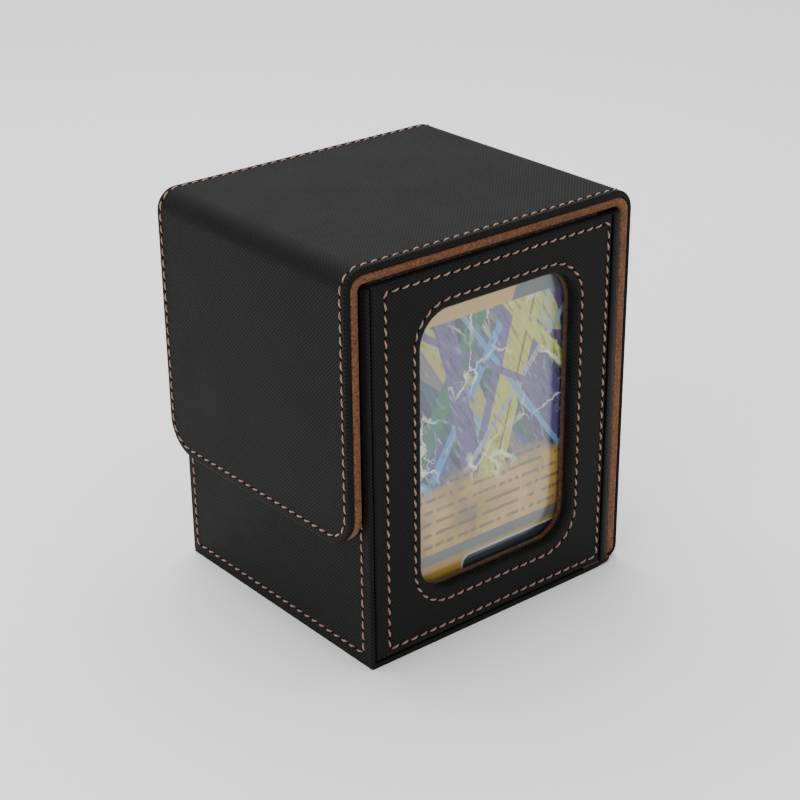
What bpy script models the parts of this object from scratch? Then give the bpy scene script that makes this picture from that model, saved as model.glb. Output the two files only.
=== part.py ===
"""Card deck box: a stiff box wrapped in imitation leather, with a windowed front panel
and a hinged strap that closes over the top and down the left side.

Metres, +Z up. The origin is the middle of the underside. The window faces -Y, the
closure flap is at -X and the strap's fixed end is at +X.
"""
from math import asin, cos, pi, radians, sin

import bmesh
import bpy

GAP = 0.0003

# The box, without the strap round it
LEFT = -0.044
RIGHT = 0.0443
FRONT = -0.042
BACK = 0.042
WALL_TOP = 0.1073
WALL_FOOT = 0.0018
BASE_HIGH = 0.0015
BASE_RIM = 0.0008
BASE_LEATHER = 0.0007
BASE_BOARD_LOW = 0.001
BASE_BOARD_HIGH = 0.003
FLOOR_THICK = 0.001
LINING_FOOT = BASE_BOARD_HIGH + GAP
SKIN = 0.001
BOARD = 0.0015
SUEDE = 0.0008
WALL = SKIN + GAP + BOARD + GAP + SUEDE
WALL_EDGE_ROUND = 0.0015
CAP = 0.0008
LINING_TOP = 0.1062
LINING_FRONT = FRONT + 0.0044
FLOOR_FRONT = FRONT + 0.009

# Front panel, its window and the display slot behind it
PANEL_LEFT = -0.0424
PANEL_RIGHT = 0.0395
PANEL_FOOT = 0.002
PANEL_BACK = -0.0392
PANEL_LEATHER = 0.0008
PANEL_ROUND = 0.0006
PANEL_CORNER = 0.0034
PANEL_GROOVE = 0.0005
WINDOW_HALF = 0.0266
WINDOW_LOW = 0.01575
WINDOW_HIGH = 0.09575
WINDOW_ROUND = 0.0093
RING_THICK = 0.001
RING_LIP = 0.0004
SHEET_TOP = 0.105
SPACER_TOP = 0.104
DIVIDER_TOP = 0.106
CARD_PLAY = 0.0004
SHEET_THICK = 0.0004
SPACER_THICK = 0.001
CARD_HALF = 0.0315
CARD_HIGH = 0.088
CARD_LOW = 0.0115
CARD_THICK = 0.0004
CARD_ROUND = 0.003
DIVIDER_BOARD = 0.0012

# The strap: fixed spine, folding spine, lid and flap
OUTER = 0.0489
TOP = 0.1124
STRAP_FRONT = -0.0398
STRAP_BACK = BACK
FOLD_ROUND = 0.006
STRAP_LEATHER = 0.0008
STRAP_EDGE = 0.001
TRAY = 0.002
STRAP_BOARD = 0.0009
LINING_OUT = TRAY + GAP
LINING_IN = 0.0043
CREASE = 0.0737
BOTTOM_ROUND = 0.0035
BASE_CORNER = 0.0018
FLAP_FOOT = 0.0357
FLAP_CORNER = 0.01

# Magnets in the left wall and in the flap
MAGNET_RADIUS = 0.004
MAGNET_HEIGHT = 0.044
MAGNET_SIDE = 0.022
MAGNET_SINK = 0.00005

FOLD_Z = TOP - FOLD_ROUND
FOLD_X = OUTER - FOLD_ROUND
ARC_STEPS = 6
OVER = 0.002


def clear_scene():
    for old in list(bpy.data.objects):
        bpy.data.objects.remove(old, do_unlink=True)


def new_collection(name):
    collection = bpy.data.collections.new(name)
    bpy.context.scene.collection.children.link(collection)
    return collection


def new_material(name, colour, roughness, metallic=0.0, alpha=1.0):
    material = bpy.data.materials.new(name)
    material.use_nodes = True
    shader = material.node_tree.nodes["Principled BSDF"]
    shader.inputs["Base Color"].default_value = (*colour, 1.0)
    shader.inputs["Roughness"].default_value = roughness
    shader.inputs["Metallic"].default_value = metallic
    shader.inputs["Alpha"].default_value = alpha
    return material


clear_scene()
PARTS = new_collection("card_deck_box")
CUTTERS = new_collection("cutters")

LEATHER = ((0.022, 0.024, 0.027), 0.55)
SUEDE_BROWN = ((0.24, 0.095, 0.04), 0.95)
GREYBOARD = ((0.33, 0.29, 0.24), 0.9)
MAGNET_STEEL = ((0.6, 0.6, 0.62), 0.25, 1.0)
CLEAR_PLASTIC = ((0.9, 0.93, 0.95), 0.05, 0.0, 0.25)
PRINTED_CARD = ((0.45, 0.48, 0.3), 0.35)


def finish(piece, finish_values):
    """Gives a piece its own material and its place in the parts collection."""
    piece.data.materials.append(new_material(piece.name + "_finish", *finish_values))
    for collection in list(piece.users_collection):
        collection.objects.unlink(piece)
    PARTS.objects.link(piece)
    return piece


def block(name, low, high):
    """A box between two corners, with its scale applied."""
    bpy.ops.mesh.primitive_cube_add(size=1.0)
    piece = bpy.context.object
    piece.name = name
    piece.scale = [h - l for l, h in zip(low, high)]
    piece.location = [(h + l) / 2 for l, h in zip(low, high)]
    bpy.ops.object.transform_apply(location=False, rotation=False, scale=True)
    return piece


def disc(name, radius, x_low, x_high, y, z):
    """A round disc whose axis runs along X."""
    bpy.ops.mesh.primitive_cylinder_add(vertices=24, radius=radius, depth=x_high - x_low)
    piece = bpy.context.object
    piece.name = name
    piece.rotation_euler = (0, pi / 2, 0)
    piece.location = ((x_low + x_high) / 2, y, z)
    return piece


def outline(name, points, plane, low, high):
    """A flat outline in the XZ, YZ or XY plane, extruded from low to high across it."""
    curve = bpy.data.curves.new(name, "CURVE")
    curve.dimensions = "2D"
    curve.fill_mode = "BOTH"
    curve.extrude = (high - low) / 2
    spline = curve.splines.new("POLY")
    spline.points.add(len(points) - 1)
    for point, (across, up) in zip(spline.points, points):
        point.co = (across, up, 0, 1)
    spline.use_cyclic_u = True
    drawn = bpy.data.objects.new(name + "_outline", curve)
    middle = (low + high) / 2
    turn = {"XZ": (pi / 2, 0, 0), "YZ": (pi / 2, 0, pi / 2), "XY": (0, 0, 0)}[plane]
    place = {"XZ": (0, middle, 0), "YZ": (middle, 0, 0), "XY": (0, 0, middle)}[plane]
    drawn.rotation_euler = turn
    drawn.location = place
    PARTS.objects.link(drawn)
    bpy.context.view_layer.update()
    graph = bpy.context.evaluated_depsgraph_get()
    mesh = bpy.data.meshes.new_from_object(drawn.evaluated_get(graph))
    work = bmesh.new()
    work.from_mesh(mesh)
    bmesh.ops.remove_doubles(work, verts=work.verts, dist=0.00001)
    bmesh.ops.recalc_face_normals(work, faces=work.faces)
    work.to_mesh(mesh)
    work.free()
    piece = bpy.data.objects.new(name, mesh)
    piece.matrix_world = drawn.matrix_world.copy()
    PARTS.objects.link(piece)
    bpy.data.objects.remove(drawn, do_unlink=True)
    return piece


def boolean(piece, cutter, operation="DIFFERENCE"):
    """Cuts, joins or crosses a piece with a cutter that stays in the cutters collection."""
    for collection in list(cutter.users_collection):
        collection.objects.unlink(cutter)
    CUTTERS.objects.link(cutter)
    cutter.hide_render = True
    cutter.display_type = "WIRE"
    modifier = piece.modifiers.new(cutter.name, "BOOLEAN")
    modifier.operation = operation
    modifier.solver = "EXACT"
    modifier.object = cutter
    return piece


def round_edges(piece, width, wanted, segments=3):
    """Rounds the edges of a block that wanted(edge middle, edge direction) picks."""
    work = bmesh.new()
    work.from_mesh(piece.data)
    layer = work.edges.layers.float.new("bevel_weight_edge")
    for edge in work.edges:
        middle = piece.location + (edge.verts[0].co + edge.verts[1].co) / 2
        along = edge.verts[1].co - edge.verts[0].co
        if wanted(middle, along.normalized()):
            edge[layer] = 1.0
    work.to_mesh(piece.data)
    work.free()
    bevel = piece.modifiers.new("round_edges", "BEVEL")
    bevel.width = width
    bevel.segments = segments
    bevel.limit_method = "WEIGHT"
    return piece


def arc(centre, radius, start, end):
    """Points on a circle from start to end, in degrees."""
    turn = [radians(start + (end - start) * step / ARC_STEPS) for step in range(ARC_STEPS + 1)]
    return [(centre[0] + radius * cos(a), centre[1] + radius * sin(a)) for a in turn]


def rounded_rectangle(left, low, right, high, radius):
    corners = [(left + radius, low + radius, 180), (right - radius, low + radius, 270),
               (right - radius, high - radius, 0), (left + radius, high - radius, 90)]
    points = []
    for across, up, start in corners:
        points += arc((across, up), radius, start, start + 90)
    return points


def round_footed(left, low, right, high, radius):
    """A rectangle whose two lower corners are rounded."""
    points = arc((left + radius, low + radius), radius, 180, 270)
    points += arc((right - radius, low + radius), radius, 270, 360)
    return points + [(right, high), (left, high)]


# ---------------------------------------------------------------- base and floor
def make_base():
    """The leather underneath meets the strap where it turns under the right wall."""
    left, front, back = LEFT + GAP, FRONT + GAP, BACK - GAP
    right = OUTER - BOTTOM_ROUND - GAP
    points = [(left, back), (left, front)]
    points += arc((right - BASE_CORNER, front + BASE_CORNER), BASE_CORNER, 270, 360)
    points += arc((right - BASE_CORNER, back - BASE_CORNER), BASE_CORNER, 0, 90)
    base_skin = outline("base_skin", points, "XY", 0, BASE_HIGH)
    pocket = block("base_pocket", (left + BASE_RIM, front + BASE_RIM, BASE_LEATHER),
                   (RIGHT - BASE_RIM, back - BASE_RIM, BASE_HIGH + OVER))
    finish(boolean(base_skin, pocket), LEATHER)
    side = SKIN + GAP + BOARD + GAP
    base_board = block("base_board", (LEFT + side, LINING_FRONT, BASE_BOARD_LOW),
                       (RIGHT - side, BACK - side, BASE_BOARD_HIGH))
    finish(base_board, GREYBOARD)
    floor = block("floor_lining", (LEFT + WALL + GAP, FLOOR_FRONT, LINING_FOOT),
                  (RIGHT - WALL - GAP, BACK - WALL - GAP, LINING_FOOT + FLOOR_THICK))
    finish(floor, SUEDE_BROWN)


# ---------------------------------------------------------------- left, right and back walls
BOARD_OUT = SKIN + GAP
BOARD_IN = BOARD_OUT + BOARD
LINING_FACE = BOARD_IN + GAP


def make_left_wall():
    """Leather outside, turned in over the top and back edges, greyboard core, suede lining."""
    skin = block("left_skin", (LEFT, FRONT, WALL_FOOT), (LEFT + BOARD_IN, BACK, WALL_TOP))
    round_edges(skin, WALL_EDGE_ROUND,
                lambda middle, along: abs(along.y) > 0.9 and middle.x < LEFT + SKIN
                and middle.z > WALL_TOP - SKIN)
    boolean(skin, block("left_core", (LEFT + SKIN, PANEL_BACK, 0),
                        (0, BACK - SKIN, WALL_TOP - CAP)))
    boolean(skin, block("left_notch", (LEFT + SKIN, FRONT - OVER, 0),
                        (0, PANEL_BACK + GAP, WALL_TOP + OVER)))
    finish(skin, LEATHER)
    board = block("left_board", (LEFT + BOARD_OUT, PANEL_BACK + GAP, WALL_FOOT),
                  (LEFT + BOARD_IN, BACK - BOARD_OUT, LINING_TOP))
    for side in (-1, 1):
        hole = disc(f"wall_magnet_hole_{side}", MAGNET_RADIUS + GAP, LEFT, LEFT + WALL,
                    side * MAGNET_SIDE, MAGNET_HEIGHT)
        boolean(board, hole)
    finish(board, GREYBOARD)
    lining = block("left_lining", (LEFT + LINING_FACE, LINING_FRONT, LINING_FOOT),
                   (LEFT + WALL, BACK - LINING_FACE, LINING_TOP))
    finish(lining, SUEDE_BROWN)


def make_right_wall():
    """As the left wall, with a leather return round the front corner to the panel."""
    skin = block("right_skin", (PANEL_RIGHT + PANEL_GROOVE, FRONT, WALL_FOOT),
                 (RIGHT, BACK, WALL_TOP))
    round_edges(skin, PANEL_CORNER, lambda middle, along: abs(along.z) > 0.9
                and middle.x > RIGHT - SKIN and middle.y < FRONT + SKIN)
    boolean(skin, block("right_core", (0, PANEL_BACK, 0),
                        (RIGHT - SKIN, BACK - SKIN, WALL_TOP - CAP)))
    boolean(skin, block("right_room", (0, PANEL_BACK, 0),
                        (RIGHT - BOARD_IN, BACK + OVER, WALL_TOP + OVER)))
    trim = [(RIGHT - WALL_EDGE_ROUND, WALL_TOP + OVER)]
    trim += [(x, z) for x, z in arc((RIGHT - WALL_EDGE_ROUND, WALL_TOP - WALL_EDGE_ROUND),
                                    WALL_EDGE_ROUND, 90, 0)]
    trim += [(RIGHT + OVER, WALL_TOP - WALL_EDGE_ROUND), (RIGHT + OVER, WALL_TOP + OVER)]
    boolean(skin, outline("right_top_round", trim, "XZ", FRONT - OVER, BACK + OVER))
    finish(skin, LEATHER)
    board = block("right_board", (RIGHT - BOARD_IN, PANEL_BACK + GAP, WALL_FOOT),
                  (RIGHT - BOARD_OUT, BACK - BOARD_OUT, LINING_TOP))
    finish(board, GREYBOARD)
    lining = block("right_lining", (RIGHT - WALL, LINING_FRONT, LINING_FOOT),
                   (RIGHT - LINING_FACE, BACK - LINING_FACE, LINING_TOP))
    finish(lining, SUEDE_BROWN)


def make_back_wall():
    skin = block("back_skin", (LEFT + BOARD_IN + GAP, BACK - BOARD_IN, WALL_FOOT),
                 (RIGHT - BOARD_IN - GAP, BACK, WALL_TOP))
    round_edges(skin, CAP, lambda middle, along: abs(along.x) > 0.9
                and middle.y > BACK - SKIN and middle.z > WALL_TOP - SKIN)
    boolean(skin, block("back_core", (LEFT, 0, 0),
                        (RIGHT, BACK - SKIN, WALL_TOP - CAP)))
    finish(skin, LEATHER)
    board = block("back_board", (LEFT + BOARD_IN + GAP, BACK - BOARD_IN, WALL_FOOT),
                  (RIGHT - BOARD_IN - GAP, BACK - BOARD_OUT, LINING_TOP))
    finish(board, GREYBOARD)
    lining = block("back_lining", (LEFT + WALL + GAP, BACK - WALL, LINING_FOOT),
                   (RIGHT - WALL - GAP, BACK - LINING_FACE, LINING_TOP))
    finish(lining, SUEDE_BROWN)


# ---------------------------------------------------------------- front panel and display slot
def window(grow):
    return rounded_rectangle(-WINDOW_HALF - grow, WINDOW_LOW - grow, WINDOW_HALF + grow,
                             WINDOW_HIGH + grow, WINDOW_ROUND + grow)


def make_front_panel():
    """Leather turned round all edges of a windowed board, and into the window."""
    leather = PANEL_LEATHER
    front_skin = block("front_skin", (PANEL_LEFT, FRONT, PANEL_FOOT),
                       (PANEL_RIGHT, PANEL_BACK, WALL_TOP))
    round_edges(front_skin, PANEL_ROUND, lambda middle, along: middle.y < FRONT + leather)
    pocket = block("panel_pocket", (PANEL_LEFT + leather, FRONT + leather, PANEL_FOOT + leather),
                   (PANEL_RIGHT - leather, PANEL_BACK + OVER, WALL_TOP - leather))
    boolean(pocket, outline("window_turn_in", window(leather), "XZ", FRONT, PANEL_BACK + 2 * OVER))
    boolean(front_skin, pocket)
    boolean(front_skin, outline("panel_window", window(0), "XZ", FRONT - OVER, 0))
    finish(front_skin, LEATHER)
    inset = leather + GAP
    front_board = block("front_board", (PANEL_LEFT + inset, FRONT + inset, PANEL_FOOT + inset),
                        (PANEL_RIGHT - inset, PANEL_BACK, WALL_TOP - inset))
    boolean(front_board, outline("board_window", window(inset), "XZ", FRONT - OVER, 0))
    finish(front_board, GREYBOARD)


def make_display_slot():
    """Suede ring and clear sheet behind the panel, then the slot, its card and its back."""
    side = SKIN + GAP + BOARD + GAP
    inner_left = LEFT + WALL + GAP
    inner_right = RIGHT - WALL - GAP
    y = PANEL_BACK + GAP
    ring = block("window_ring", (LEFT + side, y, WALL_FOOT),
                 (RIGHT - side, y + RING_THICK, LINING_TOP))
    boolean(ring, outline("ring_window", window(-RING_LIP), "XZ", FRONT, 0))
    finish(ring, SUEDE_BROWN)
    y += RING_THICK + GAP
    sheet = block("window_sheet", (inner_left, y, LINING_FOOT), (inner_right, y + SHEET_THICK, SHEET_TOP))
    finish(sheet, CLEAR_PLASTIC)
    y += SHEET_THICK + GAP
    card_room = CARD_HALF + CARD_PLAY
    points = [(inner_left, SPACER_TOP), (inner_left, LINING_FOOT), (inner_right, LINING_FOOT),
              (inner_right, SPACER_TOP), (card_room, SPACER_TOP), (card_room, CARD_LOW - GAP),
              (-card_room, CARD_LOW - GAP), (-card_room, SPACER_TOP)]
    finish(outline("slot_spacer", points, "XZ", y, y + SPACER_THICK), GREYBOARD)
    card = outline("display_card", rounded_rectangle(-CARD_HALF, CARD_LOW, CARD_HALF,
                                                     CARD_LOW + CARD_HIGH, CARD_ROUND),
                   "XZ", y, y + CARD_THICK)
    finish(card, PRINTED_CARD)
    y += SPACER_THICK + GAP
    back = block("slot_back_board", (inner_left, y, LINING_FOOT),
                 (inner_right, y + DIVIDER_BOARD, DIVIDER_TOP))
    finish(back, GREYBOARD)
    y += DIVIDER_BOARD + GAP
    lining = block("slot_back_lining", (inner_left, y, LINING_FOOT),
                   (inner_right, y + SUEDE, DIVIDER_TOP))
    finish(lining, SUEDE_BROWN)


def make_magnets():
    """Two in the left wall's board and two in the flap's board, face to face."""
    for side, word in ((-1, "front"), (1, "rear")):
        wall = disc(f"wall_magnet_{word}", MAGNET_RADIUS, LEFT + BOARD_OUT + 2 * MAGNET_SINK,
                    LEFT + BOARD_IN - 2 * MAGNET_SINK, side * MAGNET_SIDE, MAGNET_HEIGHT)
        finish(wall, MAGNET_STEEL)
        flap = disc(f"flap_magnet_{word}", MAGNET_RADIUS,
                    -OUTER + TRAY - STRAP_BOARD + MAGNET_SINK, -OUTER + TRAY - MAGNET_SINK,
                    side * MAGNET_SIDE, MAGNET_HEIGHT)
        finish(flap, MAGNET_STEEL)


# ---------------------------------------------------------------- strap
def split_angle(side, depth, towards_lid):
    """Where a layer stops at the fold's 45 degree line, in degrees."""
    half_gap = asin(GAP / 2 / (FOLD_ROUND - depth)) * 180 / pi
    middle = 45 if side > 0 else 135
    away = half_gap if (side > 0) == towards_lid else -half_gap
    return middle + away


def lid_profile(shallow, deep):
    """The lid's layer between two depths under its top, with half of each fold."""
    left = (-FOLD_X, FOLD_Z)
    right = (FOLD_X, FOLD_Z)
    points = arc(left, FOLD_ROUND - shallow, split_angle(-1, shallow, True), 90)
    points += arc(right, FOLD_ROUND - shallow, 90, split_angle(1, shallow, True))
    points += arc(right, FOLD_ROUND - deep, split_angle(1, deep, True), 90)
    points += arc(left, FOLD_ROUND - deep, 90, split_angle(-1, deep, True))
    return points


def side_profile(side, shallow, deep, foot):
    """A hanging layer of the strap between two depths, with its half of the fold."""
    centre = (side * FOLD_X, FOLD_Z)
    level = 0 if side > 0 else 180
    points = arc(centre, FOLD_ROUND - shallow, split_angle(side, shallow, False), level)
    points += [(side * (OUTER - shallow), foot), (side * (OUTER - deep), foot)]
    points += arc(centre, FOLD_ROUND - deep, level, split_angle(side, deep, False))
    return points


def flap_outline(head, inset):
    return round_footed(STRAP_FRONT + inset, FLAP_FOOT + inset, STRAP_BACK - inset, head,
                        FLAP_CORNER - inset)


def flap_slab(name, shallow, deep, points):
    return outline(name, points, "YZ", shallow - OUTER, deep - OUTER)


def make_lid():
    width = (STRAP_FRONT, STRAP_BACK)
    skin = outline("lid_skin", lid_profile(0, TRAY), "XZ", *width)
    pocket = block("lid_pocket",
                   (-FOLD_X, STRAP_FRONT + STRAP_EDGE, TOP - TRAY - OVER),
                   (FOLD_X, STRAP_BACK - STRAP_EDGE, TOP - STRAP_LEATHER))
    finish(boolean(skin, pocket), LEATHER)
    board = block("lid_board",
                  (-FOLD_X + GAP, STRAP_FRONT + STRAP_EDGE + GAP, TOP - TRAY),
                  (FOLD_X - GAP, STRAP_BACK - STRAP_EDGE - GAP, TOP - TRAY + STRAP_BOARD))
    finish(board, GREYBOARD)
    finish(outline("lid_lining", lid_profile(LINING_OUT, LINING_IN), "XZ", *width), SUEDE_BROWN)


def make_flap():
    width = (STRAP_FRONT - OVER, STRAP_BACK + OVER)
    shape = flap_outline(TOP + OVER, 0)
    skin = outline("flap_skin", side_profile(-1, 0, TRAY, FLAP_FOOT - OVER), "XZ", *width)
    boolean(skin, outline("flap_shape", shape, "YZ", -OUTER - OVER, 0), "INTERSECT")
    hollow = flap_outline(FOLD_Z, STRAP_EDGE)
    boolean(skin, flap_slab("flap_pocket", STRAP_LEATHER, TRAY + OVER, hollow))
    finish(skin, LEATHER)
    core = flap_outline(FOLD_Z - GAP, STRAP_EDGE + GAP)
    board = flap_slab("flap_board", TRAY - STRAP_BOARD, TRAY, core)
    for side in (-1, 1):
        boolean(board, disc(f"flap_magnet_hole_{side}", MAGNET_RADIUS + GAP, -OUTER - OVER,
                            LEFT, side * MAGNET_SIDE, MAGNET_HEIGHT))
    finish(board, GREYBOARD)
    lining = outline("flap_lining", side_profile(-1, LINING_OUT, LINING_IN, FLAP_FOOT - OVER),
                     "XZ", *width)
    boolean(lining, outline("flap_lining_shape", shape, "YZ", -OUTER - OVER, 0), "INTERSECT")
    finish(lining, SUEDE_BROWN)


def make_upper_spine():
    width = (STRAP_FRONT, STRAP_BACK)
    foot = CREASE + GAP / 2
    skin = outline("spine_upper_skin", side_profile(1, 0, TRAY, foot), "XZ", *width)
    pocket = block("spine_upper_pocket",
                   (OUTER - TRAY - OVER, STRAP_FRONT + STRAP_EDGE, CREASE + STRAP_EDGE),
                   (OUTER - STRAP_LEATHER, STRAP_BACK - STRAP_EDGE, FOLD_Z))
    finish(boolean(skin, pocket), LEATHER)
    board = block("spine_upper_board",
                  (OUTER - TRAY, STRAP_FRONT + STRAP_EDGE + GAP, CREASE + STRAP_EDGE + GAP),
                  (OUTER - TRAY + STRAP_BOARD, STRAP_BACK - STRAP_EDGE - GAP, FOLD_Z - GAP))
    finish(board, GREYBOARD)
    lining = outline("spine_upper_lining", side_profile(1, LINING_OUT, LINING_IN, foot),
                     "XZ", *width)
    finish(lining, SUEDE_BROWN)


def turned_under(depth):
    """The outline of a strap layer's face from its end under the box up to the spine."""
    centre = (OUTER - BOTTOM_ROUND, BOTTOM_ROUND)
    return arc(centre, BOTTOM_ROUND - depth, 270, 360)


def make_lower_spine():
    """Stands against the right wall and turns under it to meet the base."""
    width = (STRAP_FRONT, STRAP_BACK)
    head = CREASE - GAP / 2
    points = turned_under(0) + [(OUTER, head), (OUTER - TRAY, head)]
    points += reversed(turned_under(TRAY))
    skin = outline("spine_lower_skin", points, "XZ", *width)
    pocket = block("spine_lower_pocket",
                   (OUTER - TRAY - OVER, STRAP_FRONT + STRAP_EDGE, BOTTOM_ROUND),
                   (OUTER - STRAP_LEATHER, STRAP_BACK - STRAP_EDGE, CREASE - STRAP_EDGE))
    finish(boolean(skin, pocket), LEATHER)
    inset = STRAP_EDGE + GAP
    board = block("spine_lower_board", (OUTER - TRAY, STRAP_FRONT + inset, BOTTOM_ROUND + GAP),
                  (OUTER - TRAY + STRAP_BOARD, STRAP_BACK - inset, CREASE - inset))
    finish(board, GREYBOARD)
    points = turned_under(LINING_OUT) + [(OUTER - LINING_OUT, head), (OUTER - LINING_IN, head),
                                         (OUTER - LINING_IN, LINING_OUT)]
    finish(outline("spine_lower_lining", points, "XZ", *width), SUEDE_BROWN)


# ---------------------------------------------------------------- hinge lines
def hinge(name, x, z, parent=None):
    """An empty on a hinge line along Y."""
    empty = bpy.data.objects.new(name, None)
    PARTS.objects.link(empty)
    empty.location = (x, 0, z)
    bpy.context.view_layer.update()
    if parent:
        empty.parent = parent
        empty.matrix_parent_inverse = parent.matrix_world.inverted()
        bpy.context.view_layer.update()
    return empty


def hang(empty, names):
    for name in names:
        piece = bpy.data.objects[name]
        piece.parent = empty
        piece.matrix_parent_inverse = empty.matrix_world.inverted()


def make_hinges():
    """Spine crease, top fold and flap fold, each on the leather's outer face."""
    fold_x = FOLD_X + FOLD_ROUND * cos(pi / 4)
    fold_z = FOLD_Z + FOLD_ROUND * sin(pi / 4)
    crease = hinge("spine_crease", OUTER, CREASE)
    top = hinge("top_fold", fold_x, fold_z, crease)
    flap = hinge("flap_fold", -fold_x, fold_z, top)
    hang(crease, ("spine_upper_skin", "spine_upper_board", "spine_upper_lining"))
    hang(top, ("lid_skin", "lid_board", "lid_lining"))
    hang(flap, ("flap_skin", "flap_board", "flap_lining", "flap_magnet_front",
                "flap_magnet_rear"))


make_base()
make_left_wall()
make_right_wall()
make_back_wall()
make_front_panel()
make_display_slot()
make_magnets()
make_lower_spine()
make_upper_spine()
make_lid()
make_flap()
make_hinges()
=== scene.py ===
"""Card deck box: a board box wrapped in black imitation leather, with a window in front and
a suede-lined strap that folds over the top. The sections follow the order it is made in."""
from math import atan2, cos, hypot, pi, radians, sin

import bpy
from mathutils import Matrix, Vector


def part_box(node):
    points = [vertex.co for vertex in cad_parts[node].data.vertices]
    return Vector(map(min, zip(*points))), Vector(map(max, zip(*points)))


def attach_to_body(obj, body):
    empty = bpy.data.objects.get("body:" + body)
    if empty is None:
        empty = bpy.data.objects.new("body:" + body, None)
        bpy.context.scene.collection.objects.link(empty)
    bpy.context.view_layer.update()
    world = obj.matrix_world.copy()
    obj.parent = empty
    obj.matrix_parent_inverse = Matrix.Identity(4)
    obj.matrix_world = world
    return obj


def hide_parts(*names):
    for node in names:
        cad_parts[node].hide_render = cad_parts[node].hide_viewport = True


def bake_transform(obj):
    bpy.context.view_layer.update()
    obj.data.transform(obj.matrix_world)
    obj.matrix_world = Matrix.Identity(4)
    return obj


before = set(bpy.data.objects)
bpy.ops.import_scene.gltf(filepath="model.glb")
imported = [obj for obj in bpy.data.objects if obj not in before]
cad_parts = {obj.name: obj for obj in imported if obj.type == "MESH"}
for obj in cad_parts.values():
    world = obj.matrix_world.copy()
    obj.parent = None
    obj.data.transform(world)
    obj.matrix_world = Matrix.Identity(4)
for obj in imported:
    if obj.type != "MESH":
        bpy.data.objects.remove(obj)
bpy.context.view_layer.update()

# ------------------------------------------------------------------ greyboard cores
# The stiffeners: cut sheets of grey bookbinding board glued inside every wall, the lid, the
# flap and both halves of the spine, and the strip that frames the card in its slot.
GREYBOARD = ("base_board", "left_board", "right_board", "back_board", "front_board",
             "slot_back_board", "spine_lower_board", "spine_upper_board", "lid_board",
             "flap_board", "slot_spacer")


def knot(finish, kind, sources=None, **settings):
    """Adds a shader node; sources maps its inputs to values or to other nodes' outputs."""
    node = finish.node_tree.nodes.new("ShaderNode" + kind)
    for name, value in settings.items():
        setattr(node, name, value)
    for name, value in (sources or {}).items():
        if isinstance(value, bpy.types.NodeSocket):
            finish.node_tree.links.new(value, node.inputs[name])
        else:
            node.inputs[name].default_value = value
    return node


def sum_of(finish, operation, first, second):
    node = knot(finish, "Math", {0: first, 1: second}, operation=operation)
    return node.outputs[0]


def ramp(finish, factor, *stops):
    """A colour ramp through (place, colour) stops."""
    node = knot(finish, "ValToRGB", {"Fac": factor})
    band = node.color_ramp
    while len(band.elements) < len(stops):
        band.elements.new(0.5)
    for element, (place, colour) in zip(band.elements, stops):
        element.position = place
        element.color = (*colour, 1.0)
    return node.outputs["Color"]


def level(finish, factor, low_in, high_in, low_out, high_out):
    node = knot(finish, "MapRange", {"Value": factor, "From Min": low_in, "From Max": high_in,
                                     "To Min": low_out, "To Max": high_out})
    return node.outputs["Result"]


def new_finish(name, **values):
    """A material and its Principled shader, with constants set on the shader's sockets."""
    finish = bpy.data.materials.new(name)
    finish.use_nodes = True
    shader = finish.node_tree.nodes["Principled BSDF"]
    for socket, value in values.items():
        shader.inputs[socket.replace("_", " ")].default_value = value
    return finish, shader.inputs


def attach(finish, source, socket):
    finish.node_tree.links.new(source, socket)


def raise_bump(finish, sockets, height, strength, distance):
    bump = knot(finish, "Bump", {"Height": height, "Strength": strength, "Distance": distance})
    attach(finish, bump.outputs["Normal"], sockets["Normal"])


def greyboard_finish():
    finish, sockets = new_finish("greyboard", Specular_IOR_Level=0.2)
    place = knot(finish, "TexCoord").outputs["Object"]
    fibre = knot(finish, "TexNoise", {"Vector": place, "Scale": 1400.0, "Detail": 6.0})
    fleck = knot(finish, "TexVoronoi", {"Vector": place, "Scale": 900.0})
    mottle = sum_of(finish, "MULTIPLY", fibre.outputs["Fac"], fleck.outputs["Distance"])
    colour = ramp(finish, mottle, (0.1, (0.19, 0.165, 0.135)), (0.45, (0.36, 0.32, 0.26)))
    attach(finish, colour, sockets["Base Color"])
    attach(finish, level(finish, mottle, 0.0, 0.6, 0.98, 0.82), sockets["Roughness"])
    raise_bump(finish, sockets, fibre.outputs["Fac"], 0.5, 0.00008)
    return finish


def dress_node(node, finish):
    """Gives a carried-over CAD node its finish."""
    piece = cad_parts[node]
    piece.data.materials.clear()
    piece.data.materials.append(finish)


greyboard = greyboard_finish()
for node in GREYBOARD:
    dress_node(node, greyboard)

# ------------------------------------------------------------------ magnets
# Nickel-plated discs, two let into the left wall's board and two into the flap's. They lie
# face to face when the flap is shut and hold it.


def nickel_finish():
    finish, sockets = new_finish("nickel_plate", Metallic=1.0)
    place = knot(finish, "TexCoord").outputs["Object"]
    scuff = knot(finish, "TexNoise", {"Vector": place, "Scale": 900.0, "Detail": 8.0})
    colour = ramp(finish, scuff.outputs["Fac"], (0.3, (0.52, 0.51, 0.49)),
                  (0.7, (0.72, 0.71, 0.69)))
    attach(finish, colour, sockets["Base Color"])
    attach(finish, level(finish, scuff.outputs["Fac"], 0.3, 0.7, 0.18, 0.4),
           sockets["Roughness"])
    raise_bump(finish, sockets, scuff.outputs["Fac"], 0.15, 0.00003)
    return finish


nickel = nickel_finish()
for node in ("wall_magnet_front", "wall_magnet_rear", "flap_magnet_front", "flap_magnet_rear"):
    dress_node(node, nickel)

# ------------------------------------------------------------------ suede linings of the box
# Brown microfibre suede, cut square and glued over the boards on the floor, on the three
# walls and on the back of the display slot.
BOX_LININGS = ("floor_lining", "left_lining", "right_lining", "back_lining",
               "slot_back_lining")


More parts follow.
